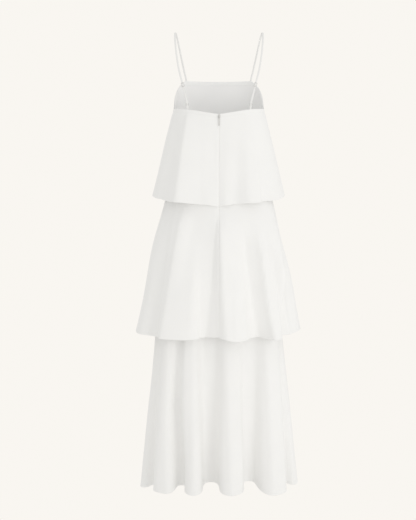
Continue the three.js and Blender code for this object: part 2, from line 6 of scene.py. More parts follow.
import bpy
import numpy as np
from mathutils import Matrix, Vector


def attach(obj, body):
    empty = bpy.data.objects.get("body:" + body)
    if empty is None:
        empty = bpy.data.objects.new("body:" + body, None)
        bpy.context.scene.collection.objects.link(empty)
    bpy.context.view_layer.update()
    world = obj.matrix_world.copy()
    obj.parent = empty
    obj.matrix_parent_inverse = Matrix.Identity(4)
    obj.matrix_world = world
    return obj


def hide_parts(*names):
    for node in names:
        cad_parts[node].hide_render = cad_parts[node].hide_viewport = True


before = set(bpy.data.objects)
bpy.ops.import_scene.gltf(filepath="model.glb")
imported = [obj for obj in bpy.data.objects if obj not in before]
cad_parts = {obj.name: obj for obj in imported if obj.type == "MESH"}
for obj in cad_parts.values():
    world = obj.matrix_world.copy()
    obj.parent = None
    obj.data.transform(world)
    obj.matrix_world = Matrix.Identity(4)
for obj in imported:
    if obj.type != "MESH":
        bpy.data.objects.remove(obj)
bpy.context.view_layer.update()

MM = 0.001


# Camera, light and studio

CAMERA_AT = (31.9, 3000.0, -275.0)
CAMERA_PITCH = 7.52
PHOTO_HIGH = 520
FOCAL_PIXELS = 1000
SENSOR_WIDE = 36
FLOOR_DOWN = 1440
PAPER_GAMMA = 1.4  # a soft print, which holds its shadows open
BACKDROP = (0.925, 0.892, 0.833)
AMBIENT = (0.744, 0.741, 0.725)
PALE_FLOOR = (0.93, 0.92, 0.9)
FLOOR_HALF = 8.0  # in metres, like the key light's place and size
KEY_AT = (-2.05, 2.8, -0.55)
KEY_AIM = (0, 0, -0.85)
KEY_SIZE = (1.2, 1.8)
KEY_WATTS = 20.5
KEY_COLOUR = (1, 0.99, 0.97)


def make_camera():
    camera = bpy.data.cameras.new("camera")
    camera.lens = FOCAL_PIXELS / PHOTO_HIGH * SENSOR_WIDE
    camera.sensor_width = SENSOR_WIDE
    camera.clip_end = 100
    eye = bpy.data.objects.new("camera", camera)
    eye.location = Vector(CAMERA_AT) * MM
    eye.rotation_euler = (math.radians(90 - CAMERA_PITCH), 0, math.pi)
    bpy.context.scene.collection.objects.link(eye)
    bpy.context.scene.camera = eye


def make_key_light():
    lamp = bpy.data.lights.new("key", "AREA")
    lamp.shape = "RECTANGLE"
    lamp.size, lamp.size_y = KEY_SIZE
    lamp.energy = KEY_WATTS
    lamp.color = KEY_COLOUR
    held = bpy.data.objects.new("key", lamp)
    held.location = KEY_AT
    held.rotation_euler = (Vector(KEY_AIM) - Vector(KEY_AT)).to_track_quat("-Z", "Y").to_euler()
    bpy.context.scene.collection.objects.link(held)


def seen_and_lit(tree, seen, lit, surface):
    """The camera sees one plain colour, and the rest of the scene is lit by another shader."""
    rays = tree.nodes.new("ShaderNodeLightPath")
    mix = tree.nodes.new("ShaderNodeMixShader")
    tree.links.new(rays.outputs["Is Camera Ray"], mix.inputs["Fac"])
    tree.links.new(lit, mix.inputs[1])
    tree.links.new(seen, mix.inputs[2])
    tree.links.new(mix.outputs["Shader"], surface)


def make_studio():
    scene = bpy.context.scene
    scene.view_settings.view_transform = "Standard"
    scene.view_settings.gamma = PAPER_GAMMA
    world = bpy.data.worlds.new("studio")
    scene.world = world
    world.use_nodes = True
    tree = world.node_tree
    ambient = tree.nodes["Background"]
    ambient.inputs["Color"].default_value = (*AMBIENT, 1)
    paper = tree.nodes.new("ShaderNodeBackground")
    paper.inputs["Color"].default_value = (*BACKDROP, 1)
    surface = tree.nodes["World Output"].inputs["Surface"]
    seen_and_lit(tree, paper.outputs["Background"], ambient.outputs["Background"], surface)

    half, down = FLOOR_HALF, -FLOOR_DOWN * MM
    mesh = bpy.data.meshes.new("floor")
    corners = [(-half, -half, down), (half, -half, down), (half, half, down), (-half, half, down)]
    mesh.from_pydata(corners, [], [(0, 1, 2, 3)])
    floor = bpy.data.objects.new("floor", mesh)
    scene.collection.objects.link(floor)
    finish = bpy.data.materials.new("pale_floor")
    finish.use_nodes = True
    tree = finish.node_tree
    tree.nodes.remove(tree.nodes["Principled BSDF"])
    matt = tree.nodes.new("ShaderNodeBsdfDiffuse")
    matt.inputs["Color"].default_value = (*PALE_FLOOR, 1)
    glow = tree.nodes.new("ShaderNodeEmission")
    glow.inputs["Color"].default_value = (*BACKDROP, 1)
    surface = tree.nodes["Material Output"].inputs["Surface"]
    seen_and_lit(tree, glow.outputs["Emission"], matt.outputs["BSDF"], surface)
    mesh.materials.append(finish)


make_camera()
make_studio()
make_key_light()


# The cut of the dress. "down" is the height below the strap crown, and angles run round the body:
# 0 at the wearer's left side, 90 at the centre back, 180 at the right side, 270 in front.


def table(columns, rows):
    """Rows of numbers with named columns."""
    return np.array(rows, dtype=[(name, float) for name in columns.split()])


CLOTH = 1.2  # thickness of the cloth
GAP = 0.3  # between sewn pieces in the solids
SWELL = 0.035  # how much squarer than an ellipse a section is
TIER2_SEAM = 400
SHEATH_HEM = 720
ZIP_END = 626
OPENING_POWER = 1.1  # how slowly folds open down a tier
TIER3_OPENING_POWER = 0.9
CENTRE_BACK = 90
FULL_TURN = 360
RIGHT_SIDE = 180
LEFT_SIDE = 360
STRAP_CORNER = 135.5  # of the neckline, from the centre back round to the front

ZIP_LINE = table("down back", [
    (131, 98), (236, 96.5), (310, 94), (400, 92.5), (500, 97), (626, 110), (720, 119), (900, 125),
])
SHEATH = table("down half front", [
    (131, 130.5, 105), (214, 131.5, 112), (270, 132.5, 115), (350, 131, 108),
    (430, 131, 99), (520, 140, 99), (626, 156, 107), (720, 166, 113),
])
TIER1 = table("down half front off", [
    (131, 132.1, 106.8, 1.5), (214, 133.4, 114.2, 1.5), (250, 142, 117, 1.5),
    (390, 176.8, 124, 3.4), (430, 186.7, 127, 4.4), (505, 205, 131, 5.6),
])
TIER2 = table("down half front off", [
    (400, 134.9, 103.2, 1.9), (430, 143, 106, 2.4), (505, 163.3, 113.2, 2.3),
    (540, 172.7, 116.1, 6), (570, 180.8, 118.7, 9), (631, 196.5, 124, 13),
    (709, 213.7, 130, 17), (814, 235.2, 136, 19), (892, 251, 140, 20),
])
TIER3 = table("down half front back", [
    (720, 166, 113, 119), (800, 176, 114, 116), (896, 188.5, 115, 113),
    (1043, 201, 116, 110), (1234, 218, 117, 108), (1376, 229, 118, 107),
])
NECKLINE = table("from_back down", [
    (0, 236), (12, 231), (28, 225), (42, 221.5), (75, 219.5), (90, 217), (98, 194),
    (109, 170), (122, 150), (129, 141), (135.5, 134.5), (160, 135.5), (180, 136),
])

# Folds, one row for each crest or trough round a tier: its angle at the top edge and at the hem, how
# far it stands out there, where its hem hangs, how steep the cloth is towards the next row, where
# that wall leans between them, and the share of the tier's length at which the fold starts.
FOLD_COLUMNS = "top hem level down wall lean start"
TIER1_FOLDS = table(FOLD_COLUMNS, [
    (90, 90, 0, 501, 0, 0, 0),
    (97, 95, 5, 497, 0.3, 0, 0.1),
    (108, 101.5, 1, 494, 0, 0, 0.1),
    (121, 113, 17, 490, 0.5, 0, 0),
    (143, 134, -5, 486, 0.2, 0, 0.2),
    (180, 180, 0, 475, 0.1, 0, 0),
    (206, 208, -6, 482, 0.3, 0, 0.25),
    (225.5, 229, 12, 489, 0.4, 0, 0),
    (250, 252, -5, 491, 0.4, 0, 0.3),
    (272, 271, 8, 493, 0.3, 0, 0.2),
    (291, 290, -4, 491, 0.4, 0, 0.3),
    (314.5, 312, 14, 489, 0.4, 0, 0),
    (334, 333, -5, 482, 0.2, 0, 0.25),
    (360, 360, 0, 475, 0.1, 0, 0),
    (390, 392, -2, 481, -0.4, 0, 0.2),
    (411, 419, 21, 489, -0.4, 0, 0),
    (432, 438, 4, 495, 0.2, 0, 0.1),
    (450, 450, 0, 501, 0, 0, 0),
])
SHEATH_FOLDS = table(
    FOLD_COLUMNS,
    [(turn, turn, 0, SHEATH_HEM - GAP, 0, 0, 0) for turn in TIER1_FOLDS["top"]],
)
TIER2_FOLDS = table(FOLD_COLUMNS, [
    (90, 90, 4, 878, -0.8, 0, 0.1),
    (104, 99, 18, 888, 0.4, 0, 0.2),
    (122, 114.5, -14, 885, -0.3, 0, 0.1),
    (166, 126, 22, 886, 0.8, 0, 0.05),
    (178, 138, -14, 883, 0.4, 0, 0.05),
    (180, 180, 0, 879, 0.1, 0, 0),
    (200, 206, -9, 884, 0.6, 0, 0.1),
    (218, 225, 22, 889, 0.6, 0, 0.1),
    (240, 243, 2, 884, 0.5, 0, 0.25),
    (258, 258, 18, 889, 0.5, 0, 0.2),
    (276, 273, -4, 884, 0.6, 0, 0.3),
    (296, 290, 20, 890, 0.5, 0, 0.2),
    (318, 309, 3, 885, 0.6, 0, 0.25),
    (338, 325, 16, 886, 0.6, 0, 0.1),
    (352, 343, -8, 882, 0.3, 0, 0.1),
    (360, 360, 0, 879, 0.1, 0, 0),
    (366, 382, 3, 884, 0.3, 0, 0.1),
    (391, 404, -14, 886, 1.05, -0.25, 0.05),
    (405, 428, 14, 886, 0.6, 0.2, 0.1),
    (443, 441.5, -18, 883, -0.8, 0, 0.25),
    (450, 450, 4, 878, 0, 0, 0.1),
])
TIER3_FOLDS = table(FOLD_COLUMNS, [
    (2, 6, 12, 1374, 0.8, 0, 0),
    (19.5, 31.5, -25, 1362, 1.05, -0.2, 0),
    (39, 52, 31, 1362, 0.9, 0.1, 0),
    (50, 60.6, -21, 1351, 0.9, -0.15, 0),
    (67, 72.5, 43, 1357, 0.9, 0.05, 0),
    (77, 84.5, -37, 1343, 0.8, -0.05, 0),
    (99, 97.8, 42, 1356, 1, 0.1, 0),
    (118, 112.3, -38, 1342, 0.7, -0.12, 0),
    (143, 129.5, 37, 1365, 1.1, 0.2, 0),
    (168, 151, -25, 1359, 0.9, 0, 0),
    (186, 176, 17, 1365, 0.8, 0, 0),
    (203, 203, -26, 1358, 0.9, 0, 0),
    (219, 222, 30, 1362, 0.9, 0, 0),
    (236, 238, -36, 1348, 1, 0, 0),
    (254, 254, 43, 1358, 0.9, 0, 0),
    (269, 268, -38, 1346, 0.9, 0, 0),
    (284, 283, 39, 1357, 1, 0, 0),
    (300, 297, -40, 1347, 0.9, 0, 0),
    (318, 311.5, 34, 1361, 0.9, 0, 0),
    (338, 332, -26, 1360, 0.8, 0, 0),
    (362, 366, 12, 1374, 0.8, 0, 0),
])


def lerp(a, b, t):
    return a + (b - a) * t


def between(a, b, leave, arrive, t):
    """A smooth curve from a to b, with its slopes there times the length of the span."""
    t2, t3 = t**2, t**3
    ends = (2 * t3 - 3 * t2 + 1) * a + (3 * t2 - 2 * t3) * b
    return ends + (t3 - 2 * t2 + t) * leave + (t3 - t2) * arrive


def through(rows, column, at, by="down"):
    """A smooth curve through one column of a table that never overshoots its rows."""
    x, y = rows[by], rows[column]
    span = np.diff(x)
    rise = np.diff(y) / span
    before, after = rise[:-1], rise[1:]
    near, far = span[:-1] + 2 * span[1:], 2 * span[:-1] + span[1:]
    climbs = before * after > 0
    safe = [np.where(climbs, side, 1) for side in (before, after)]
    middle = np.where(climbs, (near + far) / (near / safe[1] + far / safe[0]), 0)
    slope = np.concatenate([rise[:1], middle, rise[-1:]])
    at = np.clip(at, x[0], x[-1])
    i = np.clip(np.searchsorted(x, at, side="right") - 1, 0, len(x) - 2)
    t = (at - x[i]) / span[i]
    return between(y[i], y[i + 1], span[i] * slope[i], span[i] * slope[i + 1], t)


def section_at(rows, down):
    """Half width, front depth and back depth of a layer at a height."""
    if "back" in rows.dtype.names:
        back = through(rows, "back", down)
    else:
        back = through(ZIP_LINE, "back", down)
        if "off" in rows.dtype.names:
            back = back + through(rows, "off", down)
    return through(rows, "half", down), through(rows, "front", down), back


def neckline_down(deg):
    turn = np.mod(np.asarray(deg, float) - CENTRE_BACK, FULL_TURN)
    return through(NECKLINE, "down", np.minimum(turn, FULL_TURN - turn), "from_back")


def oval_point(section, deg, level, down):
    """A point of an oval section, moved out along its normal by "level"."""
    half, front, back = section
    a = np.radians(deg)
    depth = np.where(np.sin(a) > 0, back, front)
    x = half * (np.cos(a) - SWELL * np.cos(3 * a)) / (1 - SWELL)
    y = depth * (np.sin(a) + SWELL * np.sin(3 * a)) / (1 - SWELL)
    out_x = depth * (np.cos(a) + 3 * SWELL * np.cos(3 * a))
    out_y = half * (np.sin(a) - 3 * SWELL * np.sin(3 * a))
    out = level / np.hypot(out_x, out_y)
    x, y, z = np.broadcast_arrays(x + out * out_x, y + out * out_y, -np.asarray(down, float))
    return np.stack([x, y, z], axis=-1)


class Layer:
    """One layer of cloth all round the body: its sections, its folds and its top edge."""

    def __init__(self, sections, folds, top_down, power=OPENING_POWER):
        self.power = power
        self.sections = sections
        self.folds = folds
        self.top_down = top_down
        self.last = len(folds) - 1

    def row_at(self, deg):
        return int(np.nonzero(self.folds["hem"] == deg)[0][0])

    def place(self, u, s):
        """Angle, height and outer point, where u counts the fold rows and s runs down the tier."""
        i = np.clip(np.floor(u).astype(int), 0, self.last - 1)
        t = u - i
        a, b = self.folds[i], self.folds[i + 1]
        opened = [np.maximum(0, (s - x) / (1 - x)) ** self.power for x in (a["start"], b["start"])]
        opening = np.maximum(*opened)
        swing = a["wall"] * np.sin(2 * np.pi * t) / (2 * np.pi)
        across = t + opening * (swing + a["lean"] * np.sin(np.pi * t) ** 2)
        blend = (1 - np.cos(np.pi * t)) / 2
        deg = lerp(lerp(a["top"], b["top"], across), lerp(a["hem"], b["hem"], across), s)
        level = lerp(a["level"] * opened[0], b["level"] * opened[1], blend)
        down = lerp(self.top_down(deg), lerp(a["down"], b["down"], blend), s)
        return deg, down, oval_point(section_at(self.sections, down), deg, level, down)

    def normal(self, u, s):
        """The direction straight out of the cloth."""
        step = 1e-3
        u0, u1 = np.clip(u - step, 0, self.last), np.clip(u + step, 0, self.last)
        s0, s1 = np.clip(s - step, 0, 1), np.clip(s + step, 0, 1)
        round_it = self.place(u1, s)[2] - self.place(u0, s)[2]
        fall = self.place(u, s1)[2] - self.place(u, s0)[2]
        return unit(np.cross(fall, round_it))


def unit(v):
    return v / np.maximum(np.linalg.norm(v, axis=-1, keepdims=True), 1e-12)


def level_top(down):
    """A tier's top edge that is sewn on at one height all round."""
    return lambda deg: np.full(np.shape(deg), float(down))


sheath = Layer(SHEATH, SHEATH_FOLDS, neckline_down)
tier1 = Layer(TIER1, TIER1_FOLDS, neckline_down)
tier2 = Layer(TIER2, TIER2_FOLDS, level_top(TIER2_SEAM))
tier3 = Layer(TIER3, TIER3_FOLDS, level_top(SHEATH_HEM), TIER3_OPENING_POWER)


# Relief of the cloth: slack, seams, hems and creases, all as heights off the plain layer.

SLACK_WAVES = 14
SLACK_ACROSS = 95
SLACK_ALONG = 330
SLACK_BELOW = 120  # slack reaches its full height this far below the top edge
SLACK_BESIDE = 9  # and about this far beside the zip
SLACK_OUT = 1.2  # slack is carried out by this share of its height
CREASE_BELOW = 25  # creases reach theirs this far below it
BOTH_CENTRES = (CENTRE_BACK, CENTRE_BACK + FULL_TURN)


def slack(points, reach, seed):
    """Gentle unevenness of hanging cloth: a sum of long soft waves, longer down the cloth."""
    draw = np.random.default_rng(seed)
    height = np.zeros(points.shape[:-1])
    for _ in range(SLACK_WAVES):
        turn = draw.uniform(0, 2 * math.pi)
        wave = draw.uniform(0.7, 1.6)
        x, y = (side(turn) / (SLACK_ACROSS * wave) for side in (math.cos, math.sin))
        way = np.array([x, y, draw.uniform(-1, 1) / SLACK_ALONG])
        height += np.sin(2 * math.pi * points @ way + draw.uniform(0, 2 * math.pi))
    return reach * height / math.sqrt(SLACK_WAVES / 2)


def creases(deg, down, per_degree, rows):
    """Soft ridges and troughs from one place to another, each with its own slope on either side."""
    height = np.zeros(np.shape(deg))
    for row in rows:
        way = (down - row["down0"]) / (row["down1"] - row["down0"])
        bent = row["bow"] * np.sin(math.pi * np.clip(way, 0, 1))
        line = lerp(row["deg0"], row["deg1"], way) + bent
        away = (np.mod(deg - line + FULL_TURN / 2, FULL_TURN) - FULL_TURN / 2) * per_degree
        away = np.abs(away) / np.where(away < 0, row["before"], row["after"])
        fade = smooth_step(way / row["fade"]) * smooth_step((1 - way) / row["fade"])
        height += row["high"] * fade * np.exp(-(away**row["sharp"]))
    return height


def hump(x, wide):
    """1 at 0, falling away over about this width on either side."""
    return np.exp(-((x / wide) ** 2))


def smooth_step(x):
    x = np.clip(x, 0, 1)
    return x * x * (3 - 2 * x)


CREASE_COLUMNS = "deg0 down0 deg1 down1 before after high sharp fade bow"

HEM_HIGH = 6.0  # depth of the turned hem
NECK_TURN = 10.0  # depth of the turned top edge
TURNED_OUT = 0.35  # how far a turned edge stands out of the cloth
HEM_TURNED = 0.8  # what a turned hem adds to the cloth's thickness
NECK_TURNED = 0.3  # what a turned top edge adds to it
STITCH_SINK = 0.45
NECK_SINK = 0.5  # at the stitches of tier 1's top edge
LINING_SINK = 0.4  # at those of the sheath's
SINK_WIDE = 1.1
ROPING = 0.22  # of a hem, along its stitches
FURROW = 0.25  # of a pressed seam
PUCKER = 0.2  # beside it
LIP_ROLL = 1.3  # of the cloth's lips over the zip
LIP_WIDE = 1.7
SEAM_OPEN = 0.03  # between two sewn panels, on each side


def hem_relief(above, run):
    """A turned hem with its stitch line, slightly drawn up along the stitches."""
    turned = TURNED_OUT * (1 - smooth_step((above - HEM_HIGH) / 1.6))
    line = -STITCH_SINK * hump(above - HEM_HIGH + 0.4, 0.9)
    uneven = np.sin(run / 5.2 + 1.7 * np.sin(run / 37))
    return turned + line + ROPING * uneven * hump(above - 4, 5)


def seam_relief(beside, down):
    """The fine furrow of a pressed seam, with the faint puckers that its stitches draw up."""
    furrow = -FURROW * hump(beside, 0.8)
    uneven = np.sin(down / 4.1 + 1.3 * np.sin(down / 23))
    return furrow + PUCKER * uneven * hump(beside, 6)


# Building cloth panels


def new_piece(name, points, faces, uv=None):
    """A smooth mesh object, in metres."""
    mesh = bpy.data.meshes.new(name)
    mesh.from_pydata((np.asarray(points) * MM).tolist(), [], faces)
    mesh.polygons.foreach_set("use_smooth", np.ones(len(mesh.polygons), bool))
    if uv is not None:
        corner = np.empty(len(mesh.loops), np.int32)
        mesh.loops.foreach_get("vertex_index", corner)
        layer = mesh.uv_layers.new(name="UVMap")
        layer.data.foreach_set("uv", np.asarray(uv, np.float32)[corner].ravel())
    mesh.validate()
    piece = bpy.data.objects.new(name, mesh)
    bpy.context.scene.collection.objects.link(piece)
    return piece


def on_dress(piece, node=None):
    """Makes a piece move with the dress, and hides the CAD node that it stands for, if one is given.
    """
    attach(piece, "dress")
    if node:
        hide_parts(node)
    return piece


def arc_along(points, axis=0):
    """Length along one axis of a line or grid of points, from its start."""
    steps = np.linalg.norm(np.diff(points, axis=axis), axis=-1)
    arc = np.cumsum(steps, axis=axis)
    return np.concatenate([0 * np.take(arc, [0], axis=axis), arc], axis=axis)


def arc_from_middle(points, axis):
    arc = arc_along(points, axis)
    return arc - np.take(arc, [arc.shape[axis] // 2], axis=axis)


def grid_normals(points):
    return unit(np.cross(np.gradient(points, axis=1), np.gradient(points, axis=0)))


def closed_cloth(outer, inner):
    """Points and faces of a closed cloth wall with rounded edges, from its two grids."""
    columns, rows = outer.shape[:2]
    thick = np.linalg.norm(outer - inner, axis=-1, keepdims=True)
    middle = (outer + inner) / 2

    def rounded(edge, beside):
        return middle[edge] + unit(middle[edge] - middle[beside]) * 0.4 * thick[edge]

    top = rounded(np.s_[:, 0], np.s_[:, 1])
    hem = rounded(np.s_[:, -1], np.s_[:, -2])
    sides = [rounded(np.s_[0, :], np.s_[1, :]), rounded(np.s_[-1, :], np.s_[-2, :])]
    loop = np.concatenate([top[:, None], outer, hem[:, None], inner[:, ::-1]], axis=1)
    around = loop.shape[1]
    points = np.concatenate([loop.reshape(-1, 3), *sides])
    c, r = np.meshgrid(np.arange(columns - 1), np.arange(around), indexing="ij")
    c, r, after = c.ravel(), r.ravel(), (r.ravel() + 1) % around

    def at(column, row):
        return column * around + row

    faces = np.stack([at(c, r), at(c, after), at(c + 1, after), at(c + 1, r)], axis=1).tolist()
    for side, column in enumerate((0, columns - 1)):
        first = columns * around + side * rows
        out = [at(column, 1 + k) for k in range(rows)]
        back = [at(column, 2 * rows + 1 - k) for k in range(rows)]
        mid = [first + k for k in range(rows)]
        ends = [at(column, 0), at(column, rows + 1)]
        strips = [(out[0], mid[0], ends[0]), (mid[0], back[0], ends[0])]
        strips += [(mid[-1], out[-1], ends[1]), (back[-1], mid[-1], ends[1])]
        for k in range(rows - 1):
            strips.append((out[k], out[k + 1], mid[k + 1], mid[k]))
            strips.append((mid[k], mid[k + 1], back[k + 1], back[k]))
        faces += [face if side == 0 else face[::-1] for face in map(tuple, strips)]
    return points, faces


EDGE_COLUMNS = (0.5, 1.1, 1.9, 3)  # beside a seam, in millimetres
EDGE_ROWS = (0, 0.7, 1.6, 3, 4.4, 5.3, 6, 6.8, 8, 9.2, 10, 10.8, 12.2)  # from an edge


def panel_columns(layer, first, last, step):
    """Column places between two fold rows, about one step of arc apart at the hem."""
    columns, seams = [], []
    for i in range(first, last):
        fine = layer.place(np.linspace(i, i + 1, 65), np.ones(65))[2]
        arc = np.linalg.norm(np.diff(fine, axis=0), axis=1).sum()
        count = max(6, round(arc / step))
        columns += [i + k / count for k in range(count)]
        if i == first:
            seams += [i + beside / arc for beside in EDGE_COLUMNS]
        if i == last - 1:
            seams += [i + 1 - beside / arc for beside in EDGE_COLUMNS]
    return np.array(sorted([*columns, *seams, last]), float)


def panel_rows(fall, step):
    """Row places, closer together at the top edge and at the hem."""
    edge = np.array(EDGE_ROWS) / fall
    count = round((fall - 2 * EDGE_ROWS[-1]) / step)
    middle = np.linspace(edge[-1], 1 - edge[-1], count + 1)[1:-1]
    return np.concatenate([edge, middle, 1 - edge[::-1]])


class Panel:
    """One cut piece of a layer, as a closed cloth wall with relief on both faces."""

    def __init__(self, name, layer, first, last, fall, step, relief):
        u = panel_columns(layer, first, last, step)
        s = panel_rows(fall, step * 1.5)
        self.neck_turned = NECK_TURNED if layer.top_down is neckline_down else 0
        self.u, self.s = np.meshgrid(u, s, indexing="ij")
        self.deg, self.down, plain = layer.place(self.u, self.s)
        for column, beside in ((0, 1), (-1, -2)):
            plain[column] += unit(plain[beside] - plain[column]) * SEAM_OPEN
        self.plain = plain
        self.outer = plain + layer.normal(self.u, self.s) * relief(self)[..., None]
        self.normals = grid_normals(self.outer)
        self.inner = self.outer - self.normals * self.thick_with_turnings()[..., None]
        points, faces = closed_cloth(self.outer, self.inner)
        wide = arc_from_middle(self.outer, 0)
        long = arc_from_middle(self.outer, 1).mean(axis=0, keepdims=True) + 0 * wide
        face_uv = np.stack([wide, long], axis=-1) * MM
        ends = face_uv[:, [0]], face_uv[:, [-1]]
        loop_uv = np.concatenate([ends[0], face_uv, ends[1], face_uv[:, ::-1]], axis=1)
        uv = np.concatenate([loop_uv.reshape(-1, 2), face_uv[0], face_uv[-1]])
        self.piece = on_dress(new_piece(name + "_cloth", points, faces, uv), name)
        self.wide = np.ptp(wide[:, -1]) * MM
        self.long = np.ptp(long[0]) * MM
        across, along = np.diff(self.outer, axis=0)[:, :-1], np.diff(self.outer, axis=1)[:-1]
        self.area = np.linalg.norm(np.cross(across, along), axis=-1).sum() * MM * MM

    def thick_with_turnings(self):
        """The cloth is doubled where it is turned in at its hem and at its top edge."""
        above, below = from_edges(self)
        hem = HEM_TURNED * (1 - smooth_step((above - HEM_HIGH) / 1.5))
        neck = self.neck_turned * (1 - smooth_step((below - NECK_TURN) / 1.5))
        return CLOTH + hem + neck


def from_edges(panel):
    """How far each point lies above its hem, and below its top edge, along the cloth."""
    fall = arc_along(panel.plain, axis=1)
    return fall[:, -1:] - fall, fall


def hem_run(panel):
    """How far along the hem each column lies, from a start of each panel's own."""
    return arc_along(panel.plain[:, -1])[:, None] + 90 * panel.deg[0, -1]


def beside_seam(panel, layer, seams):
    """How far each point lies beside the nearest lengthwise seam."""
    half = section_at(layer.sections, panel.down)[0]
    turns = [np.abs(panel.deg - seam) for seam in seams]
    return np.minimum.reduce(turns) * np.radians(half)


def stitched_edge(below, sink):
    """The line that a row of stitches draws in, a turning's depth below the top edge."""
    return -sink * hump(below - NECK_TURN, SINK_WIDE)


def sheath_relief(panel):
    above, below = from_edges(panel)
    return stitched_edge(below, LINING_SINK) + hem_relief(above, hem_run(panel)) / 2


def tier_relief(layer, seams, crease_rows, slack_high, seed):
    """All that a tier's cloth does on its plain form, as a function of the panel."""

    def relief(panel):
        above, below = from_edges(panel)
        half = section_at(layer.sections, panel.down)[0]
        soft = slack(panel.plain, slack_high, seed)
        from_zip = beside_seam(panel, layer, BOTH_CENTRES)
        free = smooth_step(below / SLACK_BELOW) * (1 - hump(from_zip, SLACK_BESIDE))
        height = (soft + SLACK_OUT * slack_high) * free
        height += hem_relief(above, hem_run(panel))
        folded = creases(panel.deg, panel.down, np.radians(half), crease_rows)
        height += folded * smooth_step(below / CREASE_BELOW)
        return height + seam_relief(beside_seam(panel, layer, seams), panel.down)

    return relief


def lip_relief(panel):
    """The two lips of cloth that meet over a concealed zip, rolled in towards it."""
    beside = beside_seam(panel, tier1, BOTH_CENTRES)
    rolled = -LIP_ROLL * hump(beside, LIP_WIDE)
    return rolled * (1 - smooth_step((panel.down - ZIP_END) / 8))


def neckline_relief(panel):
    """The turned top edge with its row of stitches."""
    below = from_edges(panel)[1]
    turned = TURNED_OUT * (1 - smooth_step((below - NECK_TURN) / 2))
    return turned + stitched_edge(below, NECK_SINK)


def add(*reliefs):
    return lambda panel: sum(relief(panel) for relief in reliefs)


# Creases, one row each: the angle and height of its two ends, how wide it is on either side of its
# line, how high it stands (a trough is below 0), how sharp it is, the share of its length over which
# each end fades, and how far it bends sideways.
TIER1_CREASES = table(CREASE_COLUMNS, [
    (413.5, 170, 419, 640, 13, 45, 9, 1.2, 0.12, 0),
    (399, 240, 405, 620, 24, 24, -4, 2, 0.2, 0),
    (127, 400, 129, 580, 9, 10, -2.5, 1.8, 0.4, 0),
    (224, 190, 229, 640, 38, 16, 7, 1.2, 0.15, 0),
    (252, 300, 250, 600, 14, 20, -3, 1.8, 0.3, 1),
    (271, 330, 270, 620, 16, 12, 3, 1.6, 0.3, -1),
    (316, 180, 312, 640, 15, 40, 8, 1.2, 0.12, 0),
    (338, 280, 336, 600, 18, 14, -3, 1.8, 0.3, 0),
])
TIER2_CREASES = table(CREASE_COLUMNS, [
    (415, 490, 411, 1100, 10, 32, 7, 1.2, 0.1, 0),
    (449, 496, 441, 1040, 8, 13, -6.5, 1.3, 0.12, -1),
    (429, 470, 424, 760, 20, 26, -7, 2, 0.35, 0),
    (432, 640, 432, 900, 10, 14, 3, 2, 0.35, 0),
    (90, 498, 96, 1000, 15, 24, 17, 1.4, 0.18, 0),
    (111, 540, 116, 1000, 24, 12, -13, 1.5, 0.25, 0),
    (124, 540, 126, 1000, 14, 13, 16, 1.5, 0.25, 0),
    (133, 560, 137, 1000, 10, 16, -10, 1.8, 0.3, 0),
    (143, 600, 148, 1000, 14, 18, 9, 1.6, 0.3, 0),
    (216, 480, 225, 1060, 30, 14, 6, 1.3, 0.15, 0),
    (236, 520, 242, 1000, 10, 16, -6, 1.5, 0.25, 1),
    (262, 540, 258, 1000, 18, 12, 5, 1.4, 0.3, 0),
    (276, 600, 272, 1040, 14, 11, -6, 1.5, 0.25, -1),
    (296, 500, 290, 1020, 12, 24, 7, 1.3, 0.2, 0),
    (313, 560, 309, 960, 12, 14, -5, 1.7, 0.3, 0),
    (330, 490, 325, 1060, 12, 28, 6, 1.3, 0.15, 1),
])
TIER3_CREASES = table(CREASE_COLUMNS, [
    (57, 1100, 61, 1640, 16, 12, 5, 1.8, 0.4, 0),
    (62, 1060, 69, 1660, 17, 24, -11, 1.8, 0.4, 0),
    (62, 760, 66, 1330, 8, 9, 3, 1.7, 0.3, 0),
    (72, 840, 75, 1500, 12, 9, 3, 1.6, 0.3, 0),
    (86, 740, 88, 1290, 10, 12, -4, 1.7, 0.3, 1),
    (97, 860, 99, 1520, 9, 13, 4, 1.6, 0.3, -1),
    (109, 760, 107, 1300, 9, 10, -4, 1.7, 0.35, 0),
    (132, 800, 127, 1420, 10, 12, 3, 1.7, 0.3, 0),
    (222, 860, 224, 1500, 12, 9, 4, 1.6, 0.3, 0),
    (247, 740, 246, 1280, 9, 11, -4, 1.7, 0.3, 1),
    (277, 780, 278, 1340, 11, 9, -4, 1.7, 0.3, 0),
    (291, 900, 289, 1520, 9, 12, 4, 1.6, 0.3, 0),
    (322, 760, 318, 1310, 12, 10, -3, 1.7, 0.3, -1),
])

ZIP_AND_SIDES = (*BOTH_CENTRES, RIGHT_SIDE, LEFT_SIDE)
TIER3_LEFT, TIER3_RIGHT = 6, 176  # its side seams run down the crest next to each side
TIER3_SIDES = (TIER3_LEFT, TIER3_RIGHT, TIER3_LEFT + FULL_TURN)
panels = {}


def halves_and_front(name, layer, fall, step, relief):
    """A layer in three panels; fall is its length and step the size of its mesh."""
    right, left = layer.row_at(RIGHT_SIDE), layer.row_at(LEFT_SIDE)
    parts = (("back_right", 0, right), ("front", right, left), ("back_left", left, layer.last))
    for part, first, last in parts:
        full = f"{name}_{part}"
        panels[full] = Panel(full, layer, first, last, fall, step, relief)


